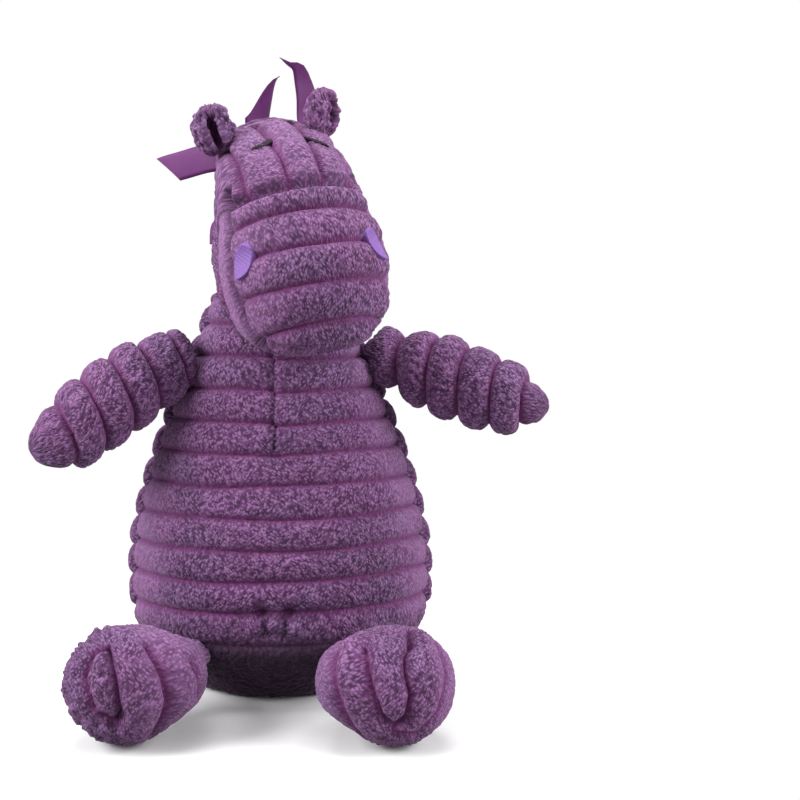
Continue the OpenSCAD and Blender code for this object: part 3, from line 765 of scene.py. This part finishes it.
def make_head():
    head = soft_form("head_skin", HEAD_NODES)
    push(head, 0.8)
    local = to_head(points_of(head))
    x, y, h = local.T  # views: changing them changes local
    x *= 1 - NAPE_NARROW * ramp(y - head_middle(h), -6, 22)
    h -= CROWN_DROP * ramp(h, CROWN_H - 16, CROWN_H)
    set_points(head, from_head(local))
    angle, _, _, brow, chin, cheek = head_regions(local)
    plump(head, near(face_lines(angle, brow, chin, cheek), 2.5), cap=2.5)
    refine(head, 3)
    local = to_head(points_of(head))
    angle, round_way, arched, brow, chin, cheek = head_regions(local)
    panels = head_panels(angle, brow, chin, cheek)
    muzzle, forehead, under, gusset = panels
    across, along, up = head_cloth(local, angle, round_way, arched, panels)
    relief, groove = wale_height(across, depth=HEAD_DEPTH, groove_half=1.4)
    crown = ramp(local[:, 2], CROWN_H - 6, CROWN_H - 3)
    plain = under | gusset
    groove = groove * (1 - 0.6 * crown) * ~plain
    relief = np.where(plain, 0.8 * HEAD_DEPTH, relief)
    relief = relief * (1 - 0.5 * crown) + 0.5 * HEAD_DEPTH * crown
    lines = face_lines(angle, brow, chin, cheek)
    # Pile laid flatter, with a painted sheen, on the chin, gussets and forehead, and painted light
    # on the muzzle's lit left side
    smooth = np.select([under, gusset, forehead], [0.3, 1.2, 0.3], 0.0)
    smooth = smooth + 0.5 * ramp(-angle, 20, 60) * muzzle
    hollow = EYE_DIP * near_marks(local, "eye_stitch", EYES, EYE_ROUND)
    beds = near_marks(local, "nostril", NOSTRILS, NOSTRIL_BED)
    cover(
        head, along, up, relief * ramp(lines, 0, 3) - HEAD_DEPTH - hollow, groove,
        near(lines, 1.2) * 0.8, np.clip(smooth, 0, 1), TUFT_HEIGHT * (1 - 0.9 * beds), seed=11,
    )
    dress(head, PLUSH)
    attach(head, "head")
    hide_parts(*HEAD_NODES)
    return head


# ---- eyes and nostrils ----

OUTSIDE = 20.0  # how far from the head its surface is looked for


def on_surface(form, place, half, turn, proud):
    """A patch of the form's surface round a place on it: an oval of these half sizes, turned
    by an angle in degrees, and standing proud by a height for each of its points."""
    bpy.ops.mesh.primitive_grid_add(x_subdivisions=48, y_subdivisions=64, size=2)
    patch = bpy.context.active_object
    a, b, _ = (points_of(patch) * mm).T
    u, v = a * np.sqrt(1 - b**2 / 2), b * np.sqrt(1 - a**2 / 2)
    out = unit(place - np.array([0, head_middle(place[2]), place[2]]))
    side = unit(np.cross([0, 0, 1], out))
    up = np.cross(out, side)
    turn = math.radians(turn)
    wide, high = u * half[0], v * half[1]
    flat_x = wide * math.cos(turn) + high * math.sin(turn)
    flat_z = high * math.cos(turn) - wide * math.sin(turn)
    start = place + np.outer(flat_x, side) + np.outer(flat_z, up) + out * OUTSIDE
    start, toward = from_head(start), head_axes @ -out
    landed = []
    for point in start:
        hit, spot, _, _ = form.ray_cast(Vector(point * mm), Vector(toward))
        landed.append(np.array(spot) / mm if hit else point + toward * OUTSIDE)
    terms = np.stack([np.ones_like(u), u, v, u * u, u * v, v * v], 1)
    depth = (np.array(landed) - start) @ toward
    curve = np.linalg.lstsq(terms, depth, rcond=None)[0]
    set_points(patch, start + np.outer(terms @ curve - proud(u, v), toward))
    mark_grain(patch, wide, high)
    return patch


def nostril_height(u, v):
    """Satin stitches, laid side by side over a low padding."""
    edge = np.hypot(u, v) * (1 + 0.03 * np.sin(5 * np.arctan2(v, u)))
    threads = 0.06 * np.sin(v * 34 + 4 * u)
    return 1.3 - 2.4 * ramp(edge, 0.84, 1.04) + threads


def eye_height(u, v):
    """A few dark stitches, pulled in to a sleepy slit."""
    return 1.0 - 1.6 * ramp(np.hypot(u, v), 0.5, 1.0) + 0.14 * np.sin(u * 26)


def make_stitches(name, kind, marks, head, half, proud, thick, material):
    """The stitches of both eyes or both nostrils, ovals of these half sizes."""
    for side, (turn, shift) in marks.items():
        node = f"{kind}_{side}"
        stitches = on_surface(head, mark_place(node, shift), half, turn, proud)
        stitches.name = stitches.data.name = f"{name}_{side}"
        apply(stitches, "SOLIDIFY", thickness=thick * mm, offset=-1)
        dress(stitches, material)
        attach(stitches, "head")
        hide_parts(node)


# ---- limbs ----


def limb_axes(node, joint):
    """A limb's own axes: out along it, across it on the level, and up. Also its pivot."""
    start = pivot(joint)
    out = unit(middle_of(node) - start)
    side = unit(np.cross([0, 0, 1], out))
    return start, np.stack([out, side, np.cross(out, side)])


def dress_limb(limb, nodes):
    """Dresses a limb, bakes its placing into its points and hides its solids."""
    dress(limb, PLUSH)
    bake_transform(limb)
    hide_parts(*nodes)


ARM_VOXEL = 3.2  # of the form before it is refined
ARM_SEED = {"left": 21, "right": 27}
ARM_PITCH = {"left": 11.9, "right": 12.3}  # of its rings
ARM_TIP = {"left": 12.0, "right": 7.5}  # length of the rounded end
ARM_NARROW = {"left": 0.3, "right": 0.5}  # how much narrower the end is
ARM_GROW = {"left": -2.0, "right": 1.5}  # added to its length as it is shaped
ARM_DROOP = {"left": 3.6, "right": 0.5}
ARM_SEAT = {"left": 4.0, "right": 7.0}  # how far its root is drawn into the body
ARM_ROOT = {"left": 1.0, "right": 0.82}  # of its girth, at the body
ARM_R = 14.6
ARM_LEAN = {"left": 0.2, "right": 0.1}  # of its rings toward the body at the top
ARM_DEPTH = 3.4  # of the grooves between its rings


def arm_girth(share, length, side):
    """How thick an arm is at each share of its length from the body."""
    end = 1 - ARM_TIP[side] / length
    far = 1 - (np.maximum(share - 0.5, 0) / 0.5) ** 4
    far = far * (1 - ARM_NARROW[side] * ramp(share, end - 0.05, end + 0.03))
    root = 1 - (np.maximum(0.14 - share, 0) / 0.14) ** 3
    girth = ARM_R * np.maximum(far * root, 0.02) ** 0.5
    return girth * (ARM_ROOT[side] + (1 - ARM_ROOT[side]) * ramp(share, 0.12, 0.34))


def make_arm(side):
    nodes = (f"arm_{side}", f"arm_stuffing_{side}", f"arm_root_{side}")
    arm = soft_form(f"arm_skin_{side}", nodes, voxel=ARM_VOXEL, smooth=6)
    start, axes = limb_axes(nodes[0], f"arm_raise_{side}")
    local = (points_of(arm) - start) @ axes.T
    out, across, up = local.T  # views: changing them changes local
    seated = ARM_SEAT[side] * (1 - ramp(out, -6, 8))
    out += ARM_GROW[side] * ramp(out, 20, 50) - seated
    low, reach = out.min(), out.max()
    girth = np.hypot(across, up)
    stops = np.linspace(low, reach, 25)
    widest = [girth[np.abs(out - stop) < 2.5].max() for stop in stops]
    wanted = arm_girth((out - low) / (reach - low), reach - low, side)
    local[:, 1:] *= (wanted / np.interp(out, stops, widest))[:, None]
    set_points(arm, local @ axes + start)
    remesh(arm, ARM_VOXEL)
    relax(arm, 4)
    push(arm, 1.4)
    refine(arm, 3)
    out, across, up = ((points_of(arm) - start) @ axes.T).T
    angle = np.arctan2(across, up)
    from_tip = out.max() - out - ARM_TIP[side] + 0.7 * np.sin(angle * 2)
    rings = from_tip * WALE_PITCH / ARM_PITCH[side]
    relief, groove = wale_height(np.maximum(rings, -6.4), depth=ARM_DEPTH, groove_half=1.2)
    cover(arm, angle * ARM_R, rings, relief - ARM_DEPTH, groove, seed=ARM_SEED[side])
    local = (points_of(arm) - start) @ axes.T
    local[:, 2] -= ARM_DROOP[side] * ramp(local[:, 0], 10, 50)
    local[:, 0] -= ARM_LEAN[side] * local[:, 2]
    set_points(arm, local @ axes + start)
    dress_limb(arm, nodes)


# The folds of each foot, from its front: depth, and a line of places sideways and up from the
# middle, measured over its round
FOOT_FOLDS = {
    "left": (
        (5.0, ((-5.6, 14), (-3.3, 1.1), (-2.3, -11.7), (-4, -16))),
        (3.8, ((7.9, 13), (10.8, 1.2), (12.3, -8), (11, -26))),
        (2.8, ((20, 6), (23, -2), (24, -10))),
        (3.2, ((-5.6, 14), (-12, 12), (-16, 3), (-12, -9), (-4, -16))),
    ),
    "right": (
        (3.8, ((-9.7, 13), (-8, 4.6), (-6.1, -4.6), (-3.9, -11.3), (0.8, -16.8))),
        (4.4, (
            (6.7, 26), (7.5, 16.6), (4.3, 10.1), (4.5, 3), (6.8, -4.6), (4.9, -13), (0.8, -16.8),
        )),
        (2.2, ((-18.5, 12), (-15, -5.7), (-13, -25))),
        (1.6, ((20, 20), (22, 3), (18, -11), (10, -20), (0.8, -19))),
    ),
}
FOOT_PITS = {"left": (-3, -13.5), "right": (7.2, 17.5)}  # where a fold is drawn in deepest
FOOT_FACE = (0.1, -0.93, 0.34)  # where its front faces: toward the middle, back and up
FOOT_SEED = {"left": 31, "right": 37}
HEEL_DEPTH = 2.4  # of the grooves between the wales behind
PIT_DEPTH = 2.6
NUB_SIZE = 2.6  # of the pile's knots on the left foot's end
NUB_HEIGHT = 0.9
THIGH = 6.0  # how far the leg's inner side runs on toward the body


def fold_distance(u, v, line):
    """How far places lie from a line through a few others."""
    stops = np.arange(len(line))
    fine = np.linspace(0, len(line) - 1, 100)
    line_u, line_v = (np.interp(fine, stops, part) for part in zip(*line))
    return np.min(np.hypot(u[:, None] - line_u, v[:, None] - line_v), axis=1)


def round_foot(ball, inward, half):
    """Places on a foot as its front shows them, measured over its round from the middle of
    the front: sideways, up, and the angle from that middle."""
    fore = unit(np.array(FOOT_FACE) * [inward, 1, 1])
    wide = unit(np.cross([0, 0, 1], fore))
    off = np.arccos(np.clip(ball @ fore / norm(ball, axis=1), -1, 1))
    flat = np.stack([ball @ wide, ball @ np.cross(fore, wide)], 1)
    flat = flat / np.maximum(norm(flat, axis=1, keepdims=True), 1e-3)
    u, v = (flat * off[:, None] * half).T
    return u, v, off


def make_leg(side):
    nodes = (f"leg_{side}", f"leg_stuffing_{side}", f"leg_root_{side}")
    leg = soft_form(f"leg_skin_{side}", nodes, voxel=3.6, smooth=6)
    start, axes = limb_axes(nodes[0], f"leg_lift_{side}")
    push(leg, 1.5)
    refine(leg, 3)
    points = points_of(leg)
    low, high = points.min(axis=0), points.max(axis=0)
    half = (high[2] - low[2]) / 2
    inward = 1 if side == "left" else -1
    outer = low[0] if inward > 0 else high[0]
    middle = np.array([outer + inward * half, low[1] + half, low[2] + half])
    ball = points - middle
    u, v, off = round_foot(ball, inward, half)
    folds = [(depth, fold_distance(u, v, line)) for depth, line in FOOT_FOLDS[side]]
    behind = np.abs((ball[:, 0] / WALE_PITCH + 0.5) % 1 - 0.5) * WALE_PITCH
    folds.append((HEEL_DEPTH, behind + 12 * (1 - ramp(off, 1.2, 1.6))))
    sunk = groove = np.zeros(len(points))
    for depth, away in folds:
        relief, line = wale_height(np.minimum(away, 6.4), depth=depth, groove_half=1.5)
        sunk = np.maximum(sunk, depth - relief)
        groove = np.maximum(groove, line)
    pit_u, pit_v = FOOT_PITS[side]
    sunk = sunk + PIT_DEPTH * near(np.hypot(u - pit_u, v - pit_v), 3.2)
    # smooth lays the pile flatter on part of each foot and paints a sheen there
    if side == "left":
        sunk = sunk + NUB_HEIGHT * ramp(-u, 2, 7) * drift(u / NUB_SIZE, v / NUB_SIZE, 33)
        smooth = 0.35 * ramp(u, 0, 12)
    else:
        smooth = 0.5 * ramp(np.abs(u), 12, 20)
    cover(leg, u, v, -sunk, groove, smooth=smooth, seed=FOOT_SEED[side])
    points = points_of(leg)
    x, _, z = points.T  # views: changing them changes points
    inner = ramp((x - middle[0]) * inward, 0.25 * half, half)
    x += inward * THIGH * inner
    z += THIGH * inner * (1 - ramp(z - middle[2], -half, 0.3 * half))
    set_points(leg, points)
    dress_limb(leg, nodes)


# ---- ears ----

EAR_HALF = (6.6, 5.2, 8.4)  # half its width, thickness and height
EAR_HOLLOW = (2.2, 5.0)  # half width and half height of the opening
EAR_CUP = 7.5  # depth of the hollow
EAR_TUFT = 1.3  # height of its longer pile


def make_ear(side, lean, turn, shift):
    """A thick cup of pile with a deep slot at its front. lean tips it out from the head and
    turn swings its front outward, in degrees. shift moves it on the plumped head."""
    bpy.ops.mesh.primitive_uv_sphere_add(segments=96, ring_count=64, radius=1)
    ear = bpy.context.active_object
    ear.name = ear.data.name = "ear_skin_" + side
    round_points = points_of(ear) * mm
    points = round_points * EAR_HALF
    inside = np.hypot(points[:, 0] / EAR_HOLLOW[0], (points[:, 2] + 0.6) / EAR_HOLLOW[1])
    fore = ramp(-round_points[:, 1], 0.1, 0.5)
    points[:, 1] += EAR_CUP * fore * (1 - ramp(inside, 0.55, 1.5))
    middle = to_head(middle_of("ear_" + side)) + shift
    outward = -1 if side == "left" else 1
    lean, turn = math.radians(outward * lean), math.radians(outward * turn)
    turning = np.array(Matrix.Rotation(lean, 3, "Y") @ Matrix.Rotation(turn, 3, "Z"))
    set_points(ear, from_head(points @ turning.T + middle))
    remesh(ear, 0.55)
    relax(ear, 2)
    local = to_head(points_of(ear)) - middle
    along = np.arctan2(local[:, 0], -local[:, 1]) * 7
    across = local[:, 2]
    deep = 1 - ramp(norm(local @ turning * [1, 1, 0.4], axis=1), 2.0, 5.0)
    locks = 0.7 * drift(along / 3, across / 3, 41)
    cover(ear, along, across, locks, deep, tuft=EAR_TUFT, seed=43)
    dress(ear, PLUSH)
    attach(ear, side + "_ear")
    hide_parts("ear_" + side, "ear_lining_" + side)


# ---- ribbons ----

# How far the back of the head reaches at a share of the crown's height
NAPE = ((0, 23.0), (0.55, 20.7), (0.75, 17.0), (0.88, 11.5), (0.97, 4.1), (1, -2.3))
ROOT_GAP = 1.6  # between there and the middle of a ribbon that starts there
TAIL_Z = 20.0  # height at which the tails leave the back
TAIL_REACH = 82.0
FOLD_RISE = 14.0  # how much higher the tail's folded piece leaves it
TAIL_OUT = 1.0  # how far behind the solid's first edge they start
LYING = 0.65  # height of a lying ribbon's middle over the table
CURL = 0.35  # how much a ribbon's edges stand up from its middle
WAVE = (0.3, 0.35)  # height of its slow waves, and radians of them to a millimetre


def bend(route, t):
    """A point along a smooth line that its control points pull."""
    route = [np.array(point, float) for point in route]
    while len(route) > 1:
        route = [a + (b - a) * t for a, b in zip(route, route[1:])]
    return route[0]


def make_ribbon(node, route, widths, body, on_head=True, cut=0.0):
    """A satin ribbon along a route, its width turning from one direction to another. cut slants
    its free end."""
    bpy.ops.mesh.primitive_grid_add(x_subdivisions=8, y_subdivisions=60, size=1)
    ribbon = bpy.context.active_object
    ribbon.name = ribbon.data.name = node + "_satin"
    flat = points_of(ribbon) * mm
    stops = np.linspace(0, 1, 201)
    line = np.array([bend(route, t) for t in stops])
    run = np.concatenate([[0], np.cumsum(norm(np.diff(line, axis=0), axis=1))])
    width_from, width_to = np.array(widths, float)
    placed = []
    grain = []
    for u, v, _ in flat:
        trim = max(cut, 0) * (u + 0.5) + max(-cut, 0) * (0.5 - u)
        reach = (v + 0.5) * (run[-1] - trim * (v + 0.5))
        t = np.interp(reach, run, stops)
        step = unit(bend(route, min(t + 0.02, 1)) - bend(route, max(t - 0.02, 0)))
        wide = unit(width_from + (width_to - width_from) * t)
        wide = unit(wide - step * (wide @ step))
        lift = CURL * (4 * u * u) + WAVE[0] * math.sin(reach * WAVE[1])
        placed.append(bend(route, t) + wide * u * RIBBON_W + np.cross(step, wide) * lift)
        grain.append((u * RIBBON_W, reach))
    placed = np.array(placed)
    set_points(ribbon, from_head(placed) if on_head else placed)
    mark_grain(ribbon, *np.array(grain).T)
    apply(ribbon, "SOLIDIFY", thickness=RIBBON_T * mm, offset=0)
    dress(ribbon, SATIN)
    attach(ribbon, body)
    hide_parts(node)


def nape(share, edge=RIBBON_W / 2):
    """Where a ribbon leaves the back of the head, at a share of the crown's height."""
    height = share * CROWN_H
    back = np.interp((height - edge) / CROWN_H, *zip(*NAPE))
    return np.array([0, back + ROOT_GAP, height])


def make_mane():
    for node, side, press, reach, tip, curl, cut in (
        ("mane_tail_tall", 24.0, 0.4, 31.0, 4, -11.5, 30),
        ("mane_tail_curled", 4.4, 0, 21.5, 1.6, 0, -18),
    ):
        root = nape(0.78, 0) + [side, -press, 0]
        route = [
            root, root + [0, 5, 0.32 * reach], root + [0.5 * tip, 1, 0.72 * reach],
            root + [tip, -3, 0.98 * reach], root + [tip + curl, -6, reach],
        ]
        make_ribbon(node, route, ((1, 0.8, 0), (1, 0.1, 0)), "mane_top", cut=cut)
    for node, side, reach in (("mane_side_left", -1, 31.0), ("mane_side_right", 1, 20.0)):
        root = nape(0.7, 4) + [side * 2, 0, 0]
        route = [
            root, root + [side * 10, 1, 0], root + [side * 0.6 * reach, -1, 1],
            root + [side * reach, 2, -3],
        ]
        widths = ((0, 0.6, 0.8), (0.25 * side, 0.8, 0.75))
        make_ribbon(node, route, widths, "mane_top", cut=-5)
    for node, share, reach, fall, out in (
        ("mane_loop_upper", 0.44, 9, 18, 13), ("mane_loop_lower", 0.2, 8, 10, 6),
    ):
        root = nape(share)
        route = [
            root, root + [6, out, 0], root + [-reach * 0.5, out + 2, 0],
            root + [-reach * 0.9, out, -fall * 0.5], root + [-reach, out - 1, -fall],
        ]
        make_ribbon(node, route, ((0, 0, 1), (0.6, 0, 1)), "mane_back")


def make_tail():
    for node, x, reach, aside, rise, body in (
        ("tail_ribbon_long", 7.5, TAIL_REACH, -26, 8, "long_tail"),
        ("tail_ribbon_short", -7.5, 0.78 * TAIL_REACH, -34, 5, "short_tail"),
    ):
        root = np.array([x, box_of(node)[0][1] + TAIL_OUT, TAIL_Z])
        table = LYING - TAIL_Z
        route = [
            root, root + [0, 0.2 * reach, rise], root + [0.1 * aside, 0.36 * reach, rise],
            root + [0.3 * aside, 0.42 * reach, table], root + [0.6 * aside, 0.7 * reach, table],
            root + [aside, reach, table],
        ]
        widths = ((1, 0, 0), (1, -aside / reach, 0))
        make_ribbon(node, route, widths, body, on_head=False, cut=6)
    root = np.array([0, box_of("tail_fold")[0][1] + TAIL_OUT, TAIL_Z + FOLD_RISE])
    route = [root, root + [-8, 7, 1], root + [-24, 3, -1], root + [-34, -2, -3]]
    widths = ((0, 0, 1), (-0.3, 0, 1))
    make_ribbon("tail_fold", route, widths, "torso", on_head=False)


# ---- studio ----

VIEW_DISTANCE = 600.0
VIEW_HEIGHT = 9.8  # degrees above level
VIEW_AIM = (45.0, 0.0, 104.6)
VIEW_FIELD = 297.6  # width of the view at that distance
SENSOR = 36.0
LAMP_AIM = (0, 0, 90)
WORLD_LIGHT = 0.32
FLOOR_SIZE = 6  # metres
FLOOR_BOUNCE = (0.3, 0.3, 0.3, 1)  # its colour as it lights other things
FLOOR_PALE = (0.92, 0.92, 0.92, 1)  # and as it is seen
FLOOR_FADE = (0.085, 0.17)  # metres out from the toy, to plain white
WHITE = (1, 1, 1, 1)


def facing(name, data, place, aim):
    """A camera or a lamp at one place, facing another."""
    obj = new_object(name, data)
    obj.location = place
    obj.rotation_euler = (aim - obj.location).to_track_quat("-Z", "Y").to_euler()
    return obj


def make_camera():
    data = bpy.data.cameras.new("camera")
    data.sensor_width = SENSOR
    data.lens = SENSOR * VIEW_DISTANCE / VIEW_FIELD
    data.clip_start = 10 * mm
    rise = math.radians(VIEW_HEIGHT)
    aim = Vector(VIEW_AIM) * mm
    place = (
        0, -VIEW_DISTANCE * math.cos(rise) * mm, aim.z + VIEW_DISTANCE * math.sin(rise) * mm
    )
    bpy.context.scene.camera = facing("camera", data, place, aim)


def make_lamp(name, place, size, power):
    """A soft square lamp that faces the toy, with its place and size in millimetres."""
    data = bpy.data.lights.new(name, "AREA")
    data.size = size * mm
    data.energy = power
    facing(name, data, Vector(place) * mm, Vector(LAMP_AIM) * mm)


def seen_plainly(make):
    """1 for rays from the camera, and for those that a surface reflects or lets through."""
    path = make.add("LightPath")
    seen = make.math("MAXIMUM", path.outputs["Is Camera Ray"], path.outputs["Is Glossy Ray"])
    return make.math("MAXIMUM", seen, path.outputs["Is Transmission Ray"])


def make_world():
    world = bpy.data.worlds.new("studio")
    bpy.context.scene.world = world
    world.use_nodes = True
    make = Nodes(world.node_tree)
    soft = make.add("Background", {"Color": WHITE, "Strength": WORLD_LIGHT})
    white = make.add("Background", {"Color": WHITE, "Strength": 1.0})
    both = {0: seen_plainly(make), 1: soft.outputs[0], 2: white.outputs[0]}
    make.finish(make.add("MixShader", both), "OutputWorld")


def make_floor():
    """A pale floor. Near the toy it shows the toy's shadow, and further out it fades to the
    plain white that the camera sees behind the toy. It throws little light back up."""
    bpy.ops.mesh.primitive_plane_add(size=FLOOR_SIZE, location=(0, 0, 0))
    floor = bpy.context.active_object
    floor.name = "floor"
    material, make = new_material("floor")
    pale = make.mix(seen_plainly(make), FLOOR_BOUNCE, FLOOR_PALE)
    shader = make.add("BsdfPrincipled", {"Base Color": pale, "Roughness": 0.9})
    white = make.add("Emission", {"Color": WHITE, "Strength": 1.0})
    place = make.add("TexCoord").outputs["Object"]
    away = make.add("VectorMath", {0: place}, operation="LENGTH").outputs["Value"]
    fade = make.ramp(away, *FLOOR_FADE, interpolation_type="SMOOTHSTEP")
    share = make.times(seen_plainly(make), fade)
    both = {0: share, 1: shader.outputs[0], 2: white.outputs[0]}
    make.finish(make.add("MixShader", both))
    floor.data.materials.append(material)


make_camera()
make_lamp("left lamp", (-560, -220, 420), 420, 6.5)
make_lamp("right lamp", (560, -240, 340), 420, 4.8)
make_lamp("top lamp", (0, 60, 700), 500, 4.0)
make_world()
make_floor()
bpy.context.scene.view_settings.view_transform = "Standard"

make_body()
make_neck()
head_skin = make_head()
make_stitches(
    "nostril_stitches", "nostril", NOSTRILS, head_skin, half=(4.2, 6.4), proud=nostril_height,
    thick=0.8, material=NOSTRIL_THREAD,
)
make_stitches(
    "eye_stitches", "eye_stitch", EYES, head_skin, half=(4.0, 1.15), proud=eye_height,
    thick=0.6, material=EYE_THREAD,
)
for limb_side in ("left", "right"):
    make_arm(limb_side)
    make_leg(limb_side)
make_ear("left", lean=14, turn=10, shift=(0.6, 0, -3.4))
make_ear("right", lean=10, turn=46, shift=(-4.6, 0, -1.8))
make_mane()
make_tail()
